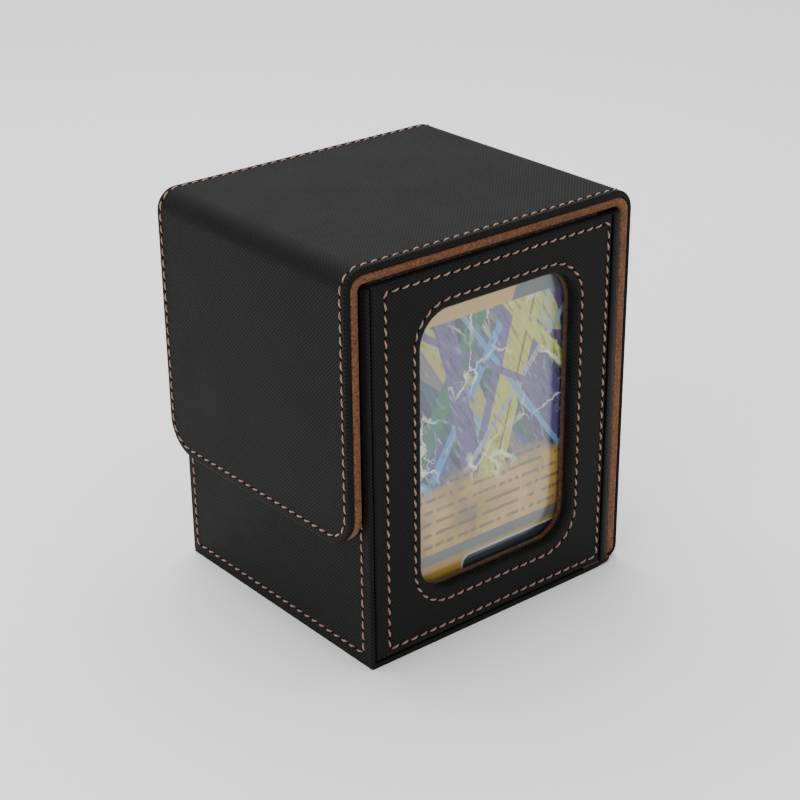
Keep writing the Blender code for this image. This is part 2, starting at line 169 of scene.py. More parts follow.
def suede_finish(name, unrolled, shade=1.0):
    """Short brown nap with dark specks; unrolled reads the piece's own UV map."""
    finish, sockets = new_finish(name, Sheen_Weight=0.12, Sheen_Roughness=0.5,
                                 Specular_IOR_Level=0.15)
    if unrolled:
        place = knot(finish, "UVMap", uv_map="grain").outputs["UV"]
    else:
        place = knot(finish, "TexCoord").outputs["Object"]
    nap = knot(finish, "TexNoise", {"Vector": place, "Scale": 2600.0, "Detail": 4.0})
    rub = knot(finish, "TexNoise", {"Vector": place, "Scale": 260.0, "Detail": 3.0})
    fleck = knot(finish, "TexNoise", {"Vector": place, "Scale": 1100.0, "Detail": 2.0})
    tone = sum_of(finish, "ADD", sum_of(finish, "MULTIPLY", nap.outputs["Fac"], 0.5),
                  sum_of(finish, "MULTIPLY", rub.outputs["Fac"], 0.15))
    tone = sum_of(finish, "ADD", tone, sum_of(finish, "MULTIPLY", fleck.outputs["Fac"], 0.35))
    nap_colours = ((0.36, (0.03, 0.011, 0.005)), (0.46, (0.13, 0.05, 0.019)),
                   (0.54, (0.19, 0.076, 0.029)), (0.68, (0.33, 0.14, 0.06)))
    colour = ramp(finish, tone, *[(at, [part * shade for part in colour])
                                  for at, colour in nap_colours])
    attach(finish, colour, sockets["Base Color"])
    attach(finish, level(finish, tone, 0.35, 0.65, 1.0, 0.85), sockets["Roughness"])
    raise_bump(finish, sockets, tone, 1.0, 0.0005)
    return finish


suede = suede_finish("suede", unrolled=False)
for node in BOX_LININGS:
    dress_node(node, suede)

# ------------------------------------------------------------------ base
# The underside: a flat panel wrapped in the box's leather, whose edge shows as a thin black
# strip below the walls. The strap's suede runs in on top of it under the right wall, and
# shows at the rounded corner.
GRAIN_PITCH = 0.8


def leather_finish(name, dark, light, shine):
    """Imitation leather with a fine diagonal cross-hatch pressed into it."""
    finish, sockets = new_finish(name, Specular_IOR_Level=0.085)
    flat = knot(finish, "UVMap", uv_map="grain").outputs["UV"]
    drift = knot(finish, "TexNoise", {"Vector": flat, "Scale": 90.0, "Detail": 2.0})
    wander = knot(finish, "VectorMath", {0: drift.outputs["Color"], "Scale": 0.00055},
                  operation="SCALE").outputs[0]
    bent = knot(finish, "VectorMath", {0: flat, 1: wander}, operation="ADD").outputs[0]
    turned = knot(finish, "Mapping", {"Vector": bent, "Rotation": (0, 0, -pi / 4),
                                      "Scale": (1000.0, 1000.0, 1000.0)}).outputs[0]
    scale = pi / 10 / GRAIN_PITCH
    ridge = knot(finish, "TexWave", {"Vector": turned, "Scale": scale}, bands_direction="X")
    cross = knot(finish, "TexWave", {"Vector": turned, "Scale": scale}, bands_direction="Y")
    pore = knot(finish, "TexNoise", {"Vector": flat, "Scale": 5200.0, "Detail": 3.0})
    patch = knot(finish, "TexNoise", {"Vector": flat, "Scale": 55.0, "Detail": 4.0})
    dots = sum_of(finish, "MULTIPLY", ridge.outputs["Fac"],
                  level(finish, cross.outputs["Fac"], 0.0, 1.0, 0.15, 1.0))
    height = sum_of(finish, "ADD", dots, sum_of(finish, "MULTIPLY", pore.outputs["Fac"], 0.5))
    # The colour follows the grain: lighter on its raised dots and darker in its valleys. This is
    # partly the leather's own worn two-tone and partly painted highlight on the dots and painted
    # shade in the valleys. The patch noise gives tone that differs at random.
    tone = sum_of(finish, "ADD", sum_of(finish, "MULTIPLY", height, 0.6),
                  sum_of(finish, "MULTIPLY", patch.outputs["Fac"], 0.35))
    attach(finish, ramp(finish, tone, (0.25, dark), (0.85, light)), sockets["Base Color"])
    rough = sum_of(finish, "ADD", level(finish, height, 0.0, 1.3, shine + 0.12, shine - 0.04),
                   level(finish, patch.outputs["Fac"], 0.3, 0.7, -0.04, 0.05))
    attach(finish, rough, sockets["Roughness"])
    raise_bump(finish, sockets, height, 0.55, 0.00012)
    return finish


def only(piece):
    """Selects one piece and nothing else."""
    bpy.ops.object.select_all(action="DESELECT")
    piece.select_set(True)
    bpy.context.view_layer.objects.active = piece


def block(name, low, high):
    """A box between two corners, drawn in place, with its object at the origin."""
    bpy.ops.object.select_all(action="DESELECT")
    bpy.ops.mesh.primitive_cube_add(size=1.0)
    piece = bpy.context.object
    piece.name = name
    piece.scale = [h - l for l, h in zip(low, high)]
    piece.location = [(h + l) / 2 for l, h in zip(low, high)]
    bpy.ops.object.transform_apply(location=True, rotation=True, scale=True)
    return piece


def pick_edges(piece, wanted):
    """Edit mode with just the edges selected for which wanted(end, end) holds."""
    only(piece)
    bpy.ops.object.mode_set(mode="EDIT")
    bpy.ops.mesh.select_mode(type="EDGE")
    bpy.ops.mesh.select_all(action="DESELECT")
    bpy.ops.object.mode_set(mode="OBJECT")
    points = piece.data.vertices
    for edge in piece.data.edges:
        edge.select = wanted(points[edge.vertices[0]].co, points[edge.vertices[1]].co)
    bpy.ops.object.mode_set(mode="EDIT")


def soften(piece, width, segments, wanted):
    """Rounds the picked edges over."""
    pick_edges(piece, wanted)
    bpy.ops.mesh.bevel(offset=width, segments=segments, affect="EDGES")
    bpy.ops.object.mode_set(mode="OBJECT")


def carve(piece, cutter):
    """Cuts a piece with another, which is used up."""
    only(piece)
    cut = piece.modifiers.new("carve", "BOOLEAN")
    cut.operation = "DIFFERENCE"
    cut.solver = "EXACT"
    cut.object = cutter
    bpy.ops.object.modifier_apply(modifier=cut.name)
    bpy.data.objects.remove(cutter, do_unlink=True)


def near(a, b):
    return abs(a - b) < 0.00002


def wrap_grain(piece):
    """The grain's map in metres: each face is laid flat along its own side."""
    mesh = piece.data
    while mesh.uv_layers:
        mesh.uv_layers.remove(mesh.uv_layers[0])
    grain = mesh.uv_layers.new(name="grain").data
    for face in mesh.polygons:
        turn = max(range(3), key=lambda axis: abs(face.normal[axis]))
        across, up = ((1, 2), (0, 2), (0, 1))[turn]
        for corner in face.loop_indices:
            point = mesh.vertices[mesh.loops[corner].vertex_index].co
            grain[corner].uv = (point[across], point[up])


def level_flats(piece):
    """Gives each large flat face its own normal at every corner, so that it shades evenly."""
    mesh = piece.data
    normals = [tuple(corner.vector) for corner in mesh.corner_normals]
    for face in mesh.polygons:
        if face.area > 0.00002 and max(abs(part) for part in face.normal) > 0.9999:
            for corner in face.loop_indices:
                normals[corner] = tuple(face.normal)
    mesh.normals_split_custom_set(normals)


def hand_over(piece, finish, slot, body, *nodes):
    """Shades a finished piece, dresses it and hands it to its body in place of the nodes."""
    only(piece)
    bpy.ops.object.shade_smooth_by_angle(angle=radians(35))
    flats = piece.modifiers.new("flat_faces", "WEIGHTED_NORMAL")
    flats.weight = 100
    flats.keep_sharp = True
    bpy.ops.object.modifier_apply(modifier=flats.name)
    level_flats(piece)
    piece.data.materials.clear()
    piece.data.materials.append(finish)
    if nodes:
        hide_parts(*nodes)
    if body:
        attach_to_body(piece, body)


LEATHER_DARK = (0.0012, 0.0013, 0.0014)
LEATHER_LIGHT = (0.0105, 0.0108, 0.0112)
LEATHER_SHINE = 0.52
LEATHER_THICK = 0.0008
BASE_CORNER = 0.0018
BASE_LIFT = 0.0012
LEDGE_THICK = 0.00027
LEDGE_EDGE = 0.0002
box_leather = leather_finish("box_leather", LEATHER_DARK, LEATHER_LIGHT, LEATHER_SHINE)
base_low, base_high = (Vector(corner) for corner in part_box("base_skin"))
base = block("base_leather", base_low, base_high)
soften(base, BASE_CORNER, 6, lambda a, b: near(a.x, base_high.x) and near(b.x, base_high.x)
       and near(a.y, b.y))
corner_reach = BASE_CORNER + 0.00001
soften(base, BASE_LIFT, 5, lambda a, b: near(a.z, 0) and near(b.z, 0)
       and min(a.x, b.x) > base_high.x - corner_reach
       and max(a.y, b.y) < base_low.y + corner_reach)
carve(base, block("base_pocket",
                  (base_low.x + LEATHER_THICK, base_low.y + LEATHER_THICK, 0.0007),
                  (base_high.x - 0.0019, base_high.y - LEATHER_THICK, 0.003)))
wrap_grain(base)
hand_over(base, box_leather, "box_leather", "box", "base_skin")
ledge_end = base_high.x - LEDGE_EDGE
ledge = block("base_suede", (0.034, base_low.y + 0.0003, base_high.z),
              (ledge_end, base_high.y - 0.0003, base_high.z + LEDGE_THICK))
soften(ledge, BASE_CORNER, 6, lambda a, b: near(a.x, ledge_end) and near(b.x, ledge_end)
       and near(a.y, b.y))
carve(ledge, block("strap_room", (0.0445, -0.03985, base_high.z - 0.001),
                   (base_high.x + 0.001, 0.05, base_high.z + 0.001)))
hand_over(ledge, suede, "suede", "box")

# ------------------------------------------------------------------ left, right and back walls
# Leather drawn over each wall's board and turned in over its top and back edges. The right
# wall's leather also goes round the front corner, where it meets the windowed panel.
SKIN = 0.001
CAP = 0.0008
OVER = 0.004


def wall_leather(node, core, rounded):
    """The node's block, hollowed for its board by the core box and softened along its edges."""
    low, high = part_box(node)
    piece = block(node.replace("skin", "leather"), low, high)
    carve(piece, block("core", *core))
    for width, wanted in rounded:
        soften(piece, width, 4, wanted)
    return piece


left_low, left_high = (Vector(corner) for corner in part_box("left_skin"))
panel_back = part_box("front_skin")[1][1]
left = wall_leather(
    "left_skin",
    ((left_low.x + SKIN, panel_back, 0), (left_high.x + OVER, left_high.y - SKIN, left_high.z - CAP)),
    [(0.0014, lambda a, b: near(a.z, left_high.z) and near(b.z, left_high.z)
      and near(a.x, left_low.x) and near(b.x, left_low.x))])
carve(left, block("notch", (left_low.x + SKIN, left_low.y - OVER, 0),
                  (left_high.x + OVER, panel_back + 0.0003, left_high.z + OVER)))
soften(left, 0.0009, 4, lambda a, b: near(a.x, left_low.x) and near(b.x, left_low.x)
       and near(a.y, b.y) and not near(a.z, b.z))

right_low, right_high = (Vector(corner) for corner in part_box("right_skin"))
wall_in = right_high.x - 0.0028
right = wall_leather(
    "right_skin",
    ((0, panel_back, 0), (right_high.x - SKIN, right_high.y - SKIN, right_high.z - CAP)),
    [(0.0034, lambda a, b: near(a.x, right_high.x) and near(b.x, right_high.x)
      and near(a.y, right_low.y) and near(b.y, right_low.y))])
carve(right, block("room", (0, panel_back, 0),
                   (wall_in, right_high.y + OVER, right_high.z + OVER)))
soften(right, 0.0008, 3, lambda a, b: near(a.z, right_high.z) and near(b.z, right_high.z)
       and (max(a.x, b.x) > right_high.x - 0.0022 and min(a.x, b.x) > wall_in + 0.0002))
soften(right, 0.0004, 3, lambda a, b: near(a.y, right_low.y) and near(b.y, right_low.y)
       and near(a.x, right_low.x) and near(b.x, right_low.x))
soften(right, 0.0009, 4, lambda a, b: near(a.y, right_high.y) and near(b.y, right_high.y)
       and near(a.x, right_high.x) and near(b.x, right_high.x))

back_low, back_high = (Vector(corner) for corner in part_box("back_skin"))
back = wall_leather(
    "back_skin",
    ((back_low.x - OVER, 0, 0), (back_high.x + OVER, back_high.y - SKIN, back_high.z - CAP)),
    [(0.0007, lambda a, b: near(a.y, back_high.y) and near(b.y, back_high.y)
      and not (near(a.z, back_low.z) and near(b.z, back_low.z)))])

# ------------------------------------------------------------------ windowed front panel
# A board of its own, wrapped in leather on all edges and glued to the box's front. The
# leather is cut through the middle and turned into the rounded window.
WINDOW = ((-0.0266, 0.01575), (0.0266, 0.09575))
WINDOW_ROUND = 0.0093


def window_cutter(grow):
    """A block with rounded corners that passes through the panel."""
    (left_x, low_z), (right_x, high_z) = WINDOW
    cutter = block("window_cutter", (left_x - grow, -0.05, low_z - grow),
                   (right_x + grow, -0.03, high_z + grow))
    soften(cutter, WINDOW_ROUND + grow, 12, lambda a, b: not near(a.y, b.y))
    return cutter


panel_low, panel_high = (Vector(corner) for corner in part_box("front_skin"))
panel = block("front_leather", panel_low, panel_high)
carve(panel, window_cutter(0))
soften(panel, 0.0007, 4, lambda a, b: near(a.y, panel_low.y) and near(b.y, panel_low.y)
       and max(abs(a.x), abs(b.x)) > 0.03 and (near(a.x, b.x) or near(a.z, b.z)))
soften(panel, 0.0013, 5, lambda a, b: near(a.y, panel_low.y) and near(b.y, panel_low.y)
       and max(abs(a.x), abs(b.x)) < 0.03)
core = block("panel_core", (panel_low.x + LEATHER_THICK, panel_low.y + 0.0009,
                            panel_low.z + LEATHER_THICK),
             (panel_high.x - LEATHER_THICK, panel_high.y + OVER,
              panel_high.z - LEATHER_THICK))
carve(core, window_cutter(LEATHER_THICK))
carve(panel, core)

# ------------------------------------------------------------------ window ring
# The brown suede behind the panel. Its cut edge shows as a thin brown line inside the window; its
# colour is darkened as painted shade.
ring_low, ring_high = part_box("window_ring")
ring = block("window_suede", ring_low, ring_high)
carve(ring, window_cutter(-0.0004))
soften(ring, 0.0002, 2, lambda a, b: near(a.y, ring_low[1]) and near(b.y, ring_low[1]))
# The same suede as the linings, darkened to 0.4 as painted shade on the ring's edge, which lies in
# shadow.
hand_over(ring, suede_finish("painted_shade_ring_suede", unrolled=False, shade=0.4), "suede", "box",
          "window_ring")

# ------------------------------------------------------------------ clear sheet
# Clear flexible vinyl glued behind the suede ring, in front of the card.


def vinyl_finish():
    """A thin clear sheet: it passes light straight on and mirrors a little of the room."""
    finish, sockets = new_finish("clear_vinyl", Base_Color=(0.9, 0.93, 0.95, 1.0),
                                 Metallic=1.0)
    place = knot(finish, "TexCoord").outputs["Object"]
    wave = knot(finish, "TexNoise", {"Vector": place, "Scale": 45.0, "Detail": 2.0})
    attach(finish, level(finish, wave.outputs["Fac"], 0.3, 0.7, 0.03, 0.07),
           sockets["Roughness"])
    raise_bump(finish, sockets, wave.outputs["Fac"], 0.05, 0.0004)
    shader = finish.node_tree.nodes["Principled BSDF"].outputs[0]
    through = knot(finish, "BsdfTransparent", {"Color": (0.97, 0.98, 0.98, 1.0)})
    edge_on = knot(finish, "LayerWeight", {"Blend": 0.5}).outputs["Facing"]
    share = level(finish, sum_of(finish, "POWER", edge_on, 4.0), 0.0, 1.0, 0.034, 0.9)
    film = knot(finish, "MixShader", {0: share, 1: through.outputs[0], 2: shader})
    output = finish.node_tree.nodes["Material Output"]
    attach(finish, film.outputs[0], output.inputs["Surface"])
    return finish


dress_node("window_sheet", vinyl_finish())

# ------------------------------------------------------------------ display card
# One printed card in the slot. Its art is abstract: a yellow heading band, crossing beams and
# splinters with pale sparks, a yellow field with dark rules, a grey bar, a gold foot and on it
# a dark rounded tab.


def card_finish():
    """The print, from bands by height and beams by slanting waves."""
    finish, sockets = new_finish("printed_card", Coat_Weight=0.2, Coat_Roughness=0.2,
                                 Roughness=0.4)
    place = knot(finish, "TexCoord").outputs["Object"]
    apart = knot(finish, "SeparateXYZ", {0: place})
    across, up = apart.outputs["X"], apart.outputs["Z"]

    def above(edge):
        return sum_of(finish, "GREATER_THAN", up, edge)

    def layer(under, over_colour, mask):
        mix = knot(finish, "Mix", {0: mask, 6: under, 7: over_colour}, data_type="RGBA")
        return mix.outputs[2]

    def slant(tilt, shift, width):
        """A straight beam: 1 inside, 0 outside."""
        offset = sum_of(finish, "ADD", sum_of(finish, "MULTIPLY", up, tilt), shift)
        gap = knot(finish, "Math", {0: sum_of(finish, "SUBTRACT", across, offset)},
                   operation="ABSOLUTE").outputs[0]
        return sum_of(finish, "LESS_THAN", gap, width)

    haze = knot(finish, "TexNoise", {"Vector": place, "Scale": 70.0, "Detail": 5.0})
    leaning = knot(finish, "Mapping", {"Vector": place, "Rotation": (0, radians(31), 0)}).outputs[0]
    drawn_out = knot(finish, "Mapping", {"Vector": leaning, "Scale": (1.0, 0.0, 0.2)}).outputs[0]
    shards = knot(finish, "TexVoronoi", {"Vector": drawn_out, "Scale": 260.0})
    pick = knot(finish, "SeparateColor", {0: shards.outputs["Color"]}).outputs[0]
    art = ramp(finish, pick, (0.0, (0.012, 0.02, 0.07)), (0.2, (0.012, 0.06, 0.05)),
               (0.38, (0.04, 0.10, 0.24)), (0.5, (0.08, 0.05, 0.15)), (0.62, (0.02, 0.09, 0.06)),
               (0.74, (0.13, 0.08, 0.20)), (0.86, (0.42, 0.40, 0.07)), (1.0, (0.14, 0.36, 0.55)))
    for tilt, shift, width, colour in (
            (0.55, -0.052, 0.003, (0.02, 0.16, 0.09, 1)),
            (0.6, -0.046, 0.0016, (0.06, 0.26, 0.60, 1)),
            (-0.5, 0.052, 0.0052, (0.10, 0.07, 0.20, 1)),
            (-0.2, 0.0035, 0.0030, (0.11, 0.075, 0.23, 1)),
            (0.28, -0.0102, 0.0048, (0.48, 0.46, 0.05, 1)),
            (0.28, -0.0165, 0.0015, (0.12, 0.08, 0.24, 1)),
            (0.28, -0.0085, 0.0004, (0.16, 0.13, 0.03, 1)),
            (0.9, -0.0475, 0.0012, (0.30, 0.34, 0.42, 1)),
            (-0.9, 0.088, 0.0026, (0.50, 0.50, 0.07, 1)),
            (-0.75, 0.0585, 0.0009, (0.10, 0.30, 0.55, 1)),
            (-1.6, 0.118, 0.0018, (0.13, 0.09, 0.26, 1))):
        art = layer(art, colour, slant(tilt, shift, width))
    streak = knot(finish, "TexNoise", {"Vector": drawn_out, "Scale": 900.0, "Detail": 3.0})
    for colour, begin, full, strength in (((0.006, 0.008, 0.02, 1), 0.54, 0.66, 0.6),
                                          ((0.45, 0.60, 0.70, 1), 0.4, 0.3, 0.4)):
        art = layer(art, colour, level(finish, streak.outputs["Fac"], begin, full, 0, strength))
    jag = knot(finish, "TexNoise", {"Vector": place, "Scale": 230.0, "Detail": 5.0})
    shake = knot(finish, "VectorMath", {0: jag.outputs["Color"], "Scale": 0.008},
                 operation="SCALE").outputs[0]
    shaken = knot(finish, "VectorMath", {0: place, 1: shake}, operation="ADD").outputs[0]
    stretch = knot(finish, "Mapping", {"Vector": shaken, "Scale": (1.0, 0.0, 0.6)}).outputs[0]
    cells = knot(finish, "TexVoronoi", {"Vector": stretch, "Scale": 95.0},
                 feature="DISTANCE_TO_EDGE")
    spark = level(finish, cells.outputs["Distance"], 0.008, 0.03, 1.0, 0.0)
    patch = knot(finish, "TexNoise", {"Vector": place, "Scale": 45.0, "Detail": 1.0})
    spark = sum_of(finish, "MULTIPLY", spark,
                   level(finish, patch.outputs["Fac"], 0.42, 0.5, 0.0, 1.0))
    art = layer(art, (0.72, 0.78, 0.62, 1), spark)
    fine = knot(finish, "TexVoronoi", {"Vector": stretch, "Scale": 210.0},
                feature="DISTANCE_TO_EDGE")
    web = sum_of(finish, "MULTIPLY", level(finish, fine.outputs["Distance"], 0.012, 0.04, 0.8, 0.0),
                 level(finish, patch.outputs["Fac"], 0.5, 0.56, 0.0, 1.0))
    art = layer(art, (0.66, 0.72, 0.62, 1), web)
    field = ramp(finish, haze.outputs["Fac"], (0.3, (0.22, 0.14, 0.08)), (0.44, (0.42, 0.27, 0.06)),
                 (0.62, (0.60, 0.36, 0.12)))
    rules = knot(finish, "TexWave", {"Vector": place, "Scale": 90.0}, bands_direction="Z")
    broken = knot(finish, "Mapping", {"Vector": place, "Scale": (1.0, 0.0, 0.2)}).outputs[0]
    words = knot(finish, "TexNoise", {"Vector": broken, "Scale": 420.0, "Detail": 1.0})
    rule = sum_of(finish, "MULTIPLY", level(finish, rules.outputs["Fac"], 0.72, 0.86, 0.0, 0.75),
                  level(finish, words.outputs["Fac"], 0.42, 0.5, 0.0, 1.0))
    field = layer(field, (0.10, 0.08, 0.06, 1), rule)
    ragged = sum_of(finish, "ADD", up, sum_of(finish, "MULTIPLY", haze.outputs["Fac"], 0.02))
    fade = level(finish, ragged, 0.0545, 0.0505, 0.0, 1.0)
    art = layer(art, field, fade)
    art = layer(art, (0.13, 0.135, 0.14, 1), sum_of(finish, "LESS_THAN", up, 0.0238))
    art = layer(art, (0.36, 0.22, 0.03, 1), sum_of(finish, "LESS_THAN", up, 0.0206))
    for grow, colour in ((0.0007, (0.42, 0.42, 0.40, 1)), (0.0, (0.02, 0.03, 0.045, 1))):
        drop = sum_of(finish, "SUBTRACT", up, 0.0162)
        reach = sum_of(finish, "MINIMUM", sum_of(finish, "SUBTRACT", across, -0.0055), 0.0)
        span = sum_of(finish, "ADD", sum_of(finish, "MULTIPLY", drop, drop),
                      sum_of(finish, "MULTIPLY", reach, reach))
        art = layer(art, colour, sum_of(finish, "LESS_THAN", span, (0.0027 + grow) ** 2))
    art = layer(art, (0.50, 0.31, 0.07, 1), above(0.0895))
    corner = sum_of(finish, "MULTIPLY", above(0.0895),
                    sum_of(finish, "GREATER_THAN", sum_of(finish, "ADD", across,
                           sum_of(finish, "MULTIPLY", up, -0.4)), -0.0275))
    art = layer(art, (0.07, 0.08, 0.08, 1), corner)
    attach(finish, art, sockets["Base Color"])
    raise_bump(finish, sockets, haze.outputs["Fac"], 0.05, 0.0001)
    return finish


dress_node("display_card", card_finish())

# ------------------------------------------------------------------ seams of the box
# Tan bonded thread in a straight lockstitch, drawn down tight so that each row lies in a
# shallow channel: round the front panel, round its window, and round the left and back walls.
STITCH_PITCH = 0.0033
STITCH_LONG = 0.0027
THREAD = 0.00046
CHANNEL_WIDE = 0.0009
CHANNEL_DEEP = 0.00022


def thread_finish():
    finish, sockets = new_finish("tan_thread", Roughness=0.6, Sheen_Weight=0.3)
    own = knot(finish, "UVMap", uv_map="UVMap").outputs["UV"]
    strand = knot(finish, "TexWave", {"Vector": own, "Scale": 1.6, "Distortion": 1.0},
                  bands_direction="DIAGONAL")
    place = knot(finish, "TexCoord").outputs["Object"]
    dye = knot(finish, "TexNoise", {"Vector": place, "Scale": 300.0, "Detail": 2.0})
    tone = sum_of(finish, "ADD", sum_of(finish, "MULTIPLY", strand.outputs["Fac"], 0.45),
                  sum_of(finish, "MULTIPLY", dye.outputs["Fac"], 0.55))
    colour = ramp(finish, tone, (0.25, (0.11, 0.045, 0.025)), (0.75, (0.36, 0.19, 0.125)))
    attach(finish, colour, sockets["Base Color"])
    raise_bump(finish, sockets, strand.outputs["Fac"], 0.7, 0.00012)
    return finish


# Near-black matte beads laid in the gaps between stitches: painted shade standing in for the shadow
# inside each needle hole.
def hole_shade_finish():
    finish, sockets = new_finish("painted_hole_shade", Roughness=1.0, Specular_IOR_Level=0.0)
    place = knot(finish, "TexCoord").outputs["Object"]
    shade = knot(finish, "TexNoise", {"Vector": place, "Scale": 2000.0})
    attach(finish, ramp(finish, shade.outputs["Fac"], (0.3, (0.001, 0.001, 0.001)),
                        (0.7, (0.006, 0.004, 0.003))), sockets["Base Color"])
    return finish


tan_thread = thread_finish()
painted_hole_shade = hole_shade_finish()


def bead(name, long, wide, high, around, rings, finish):
    """A small ellipsoid lying along X, for one stitch or one dark bead of painted shade at a needle
    hole.
    """
    bpy.ops.object.select_all(action="DESELECT")
    bpy.ops.mesh.primitive_uv_sphere_add(segments=around, ring_count=rings, radius=0.5)
    piece = bpy.context.object
    piece.name = name
    bpy.ops.transform.rotate(value=pi / 2, orient_axis="Y", center_override=(0, 0, 0))
    bpy.ops.object.transform_apply(location=True, rotation=True, scale=True)
    bpy.ops.object.mode_set(mode="EDIT")
    bpy.ops.mesh.select_all(action="SELECT")
    bpy.ops.transform.resize(value=(long, wide, high))
    bpy.ops.object.mode_set(mode="OBJECT")
    bpy.ops.object.shade_smooth()
    piece.data.materials.append(finish)
    return piece


stitch = bead("stitch", STITCH_LONG, THREAD, THREAD * 0.9, 8, 9, tan_thread)
for vertex in stitch.data.vertices:
    reach = abs(vertex.co.x) / (STITCH_LONG / 2)
    vertex.co.z += THREAD * (0.18 - 0.75 * reach ** 3)
    vertex.co.y *= 1 + 0.35 * (1 - reach)
# The needle hole is not cut: a tiny dark bead sits there as painted shade.
shade_bead = bead("painted_hole_shade", 0.0006, 0.0005, 0.0002, 6, 4, painted_hole_shade)


def spots(path, closed):
    """Centres, directions and normals of evenly spaced stitches along (point, normal) pairs."""
    pairs = path + path[:1] if closed else path
    reach = [0.0]
    for (here, _), (there, _) in zip(pairs, pairs[1:]):
        reach.append(reach[-1] + (there - here).length)
    count = round(reach[-1] / STITCH_PITCH)
    found = []
    step = 0
    for number in range(count * 2):
        wanted = (number + 0.5) * reach[-1] / count / 2
        while reach[step + 1] < wanted:
            step += 1
        (here, up), (there, up_there) = pairs[step], pairs[step + 1]
        share = (wanted - reach[step]) / (reach[step + 1] - reach[step])
        found.append((here.lerp(there, share), (there - here).normalized(),
                      up.lerp(up_there, share).normalized()))
    return found


def sew(name, row, first=0):
    """Lays a stitch at each even spot of a row and, at each odd one, a dark bead that paints the
    shade of a needle hole.
    """
    laid = []
    for number, (point, along, up) in enumerate(row, first):
        pattern = stitch if number % 2 == 0 else shade_bead
        slant = 0.2 if pattern is stitch else 0.0
        side = up.cross(along).normalized()
        along_true = (along * cos(slant) + side * sin(slant)).normalized()
        side_true = up.cross(along_true).normalized()
        turn = Matrix((along_true, side_true, up)).transposed().to_4x4()
        lift = (THREAD * 0.42 if pattern is stitch else 0.00003) - CHANNEL_DEEP
        copy = pattern.copy()
        copy.data = pattern.data.copy()
        copy.matrix_world = Matrix.Translation(point + up * lift) @ turn
        bpy.context.scene.collection.objects.link(copy)
        laid.append(copy)
    bpy.ops.object.select_all(action="DESELECT")
    for copy in laid:
        copy.select_set(True)
    bpy.context.view_layer.objects.active = laid[0]
    bpy.ops.object.join()
    bpy.ops.object.transform_apply(location=True, rotation=True, scale=True)
    seam = bpy.context.object
    seam.name = name
    return seam


def press_channel(piece, path, closed):
    """Presses a shallow round channel along the row, as the drawn thread does."""
    radius = (CHANNEL_WIDE ** 2 / 4 + CHANNEL_DEEP ** 2) / (2 * CHANNEL_DEEP)
    curve = bpy.data.curves.new("channel", "CURVE")
    curve.dimensions = "3D"
    curve.bevel_depth = radius
    curve.bevel_resolution = 4
    curve.use_fill_caps = not closed
    spline = curve.splines.new("POLY")
    spline.points.add(len(path) - 1)
    for point, (place, up) in zip(spline.points, path):
        point.co = (*(place + up * (radius - CHANNEL_DEEP)), 1.0)
    spline.use_cyclic_u = closed
    tool = bpy.data.objects.new("channel", curve)
    bpy.context.scene.collection.objects.link(tool)
    only(tool)
    bpy.ops.object.convert(target="MESH")
    only(bpy.context.object)
    bpy.ops.object.mode_set(mode="EDIT")
    bpy.ops.mesh.select_all(action="SELECT")
    bpy.ops.mesh.remove_doubles(threshold=0.000005)
    bpy.ops.mesh.normals_make_consistent(inside=False)
    bpy.ops.object.mode_set(mode="OBJECT")
    carve(piece, bpy.context.object)


def flat_row(left_u, low_v, right_u, high_v, radius, to_point, up):
    """A rounded rectangle on a flat side; to_point turns its two coordinates into a point."""
    path = []
    steps = 8 if radius > 0.002 else 3
    corners = ((right_u, high_v, 0), (left_u, high_v, 90), (left_u, low_v, 180),
               (right_u, low_v, 270))
    for u, v, start in corners:
        centre_u = u - radius if u == right_u else u + radius
        centre_v = v - radius if v == high_v else v + radius
        for step in range(steps + 1):
            angle = radians(start + 90 * step / steps)
            path.append((Vector(to_point(centre_u + radius * cos(angle),
                                         centre_v + radius * sin(angle))), Vector(up)))
    return path


def on_front(u, v):
    return (u, panel_low.y, v)


def on_left(u, v):
    return (left_low.x, u, v)


def on_back(u, v):
    return (u, back_high.y, v)


panel_row = flat_row(-0.0381, 0.0044, 0.0381, 0.1052, 0.0008, on_front, (0, -1, 0))
window_row = flat_row(-0.02905, 0.0122, 0.02905, 0.0986, 0.0117, on_front, (0, -1, 0))
left_row = flat_row(-0.0383, 0.0037, 0.0392, 0.1036, 0.0012, on_left, (-1, 0, 0))
back_row = flat_row(-0.0392, 0.0045, 0.0392, 0.1036, 0.0012, on_back, (0, 1, 0))
press_channel(panel, panel_row, True)
press_channel(panel, window_row, True)
press_channel(left, left_row, True)
press_channel(back, back_row, True)
for piece, nodes in ((panel, "front_skin"), (left, "left_skin"), (right, "right_skin"),
                     (back, "back_skin")):
    wrap_grain(piece)
    hand_over(piece, box_leather, "box_leather", "box", nodes)
for name, row in (("panel_seam", panel_row), ("window_seam", window_row),
                  ("left_seam", left_row), ("back_seam", back_row)):
    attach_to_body(sew(name, spots(row, True)), "box")

# ------------------------------------------------------------------ strap leather
# One long strip of leather, turned in round the boards of spine, lid and flap. Between the boards it
# has no core, so it folds at the crease and at both top corners. It is made in three lengths that
# meet where it lies flat.
STRAP_FRONT, STRAP_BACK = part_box("lid_skin")[0][1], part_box("lid_skin")[1][1]
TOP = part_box("lid_skin")[1][2]
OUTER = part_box("spine_upper_skin")[1][0]
FLAP_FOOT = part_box("flap_skin")[0][2]
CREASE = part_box("spine_upper_skin")[0][2] - 0.00015
FOLD_ROUND = 0.006
FOLD_X = OUTER - FOLD_ROUND
FOLD_Z = TOP - FOLD_ROUND
FOLD_LONG = FOLD_ROUND * pi / 2
BOTTOM_ROUND = 0.0035
FLAP_CORNER = 0.010
SPINE_JOIN = 0.090
BEND = 0.0036
SUEDE_FOOT = 0.00155
LEATHER_DEEP = 0.002
SUEDE_DEEP = 0.0043
SPINE_LEATHER_DEEP = 0.0012
RIM = 0.001
ROW_INSET = 0.0018
ROW_CORNER = 0.0076
FOLD_LATE = 0.0016
GLUE = 0.00005


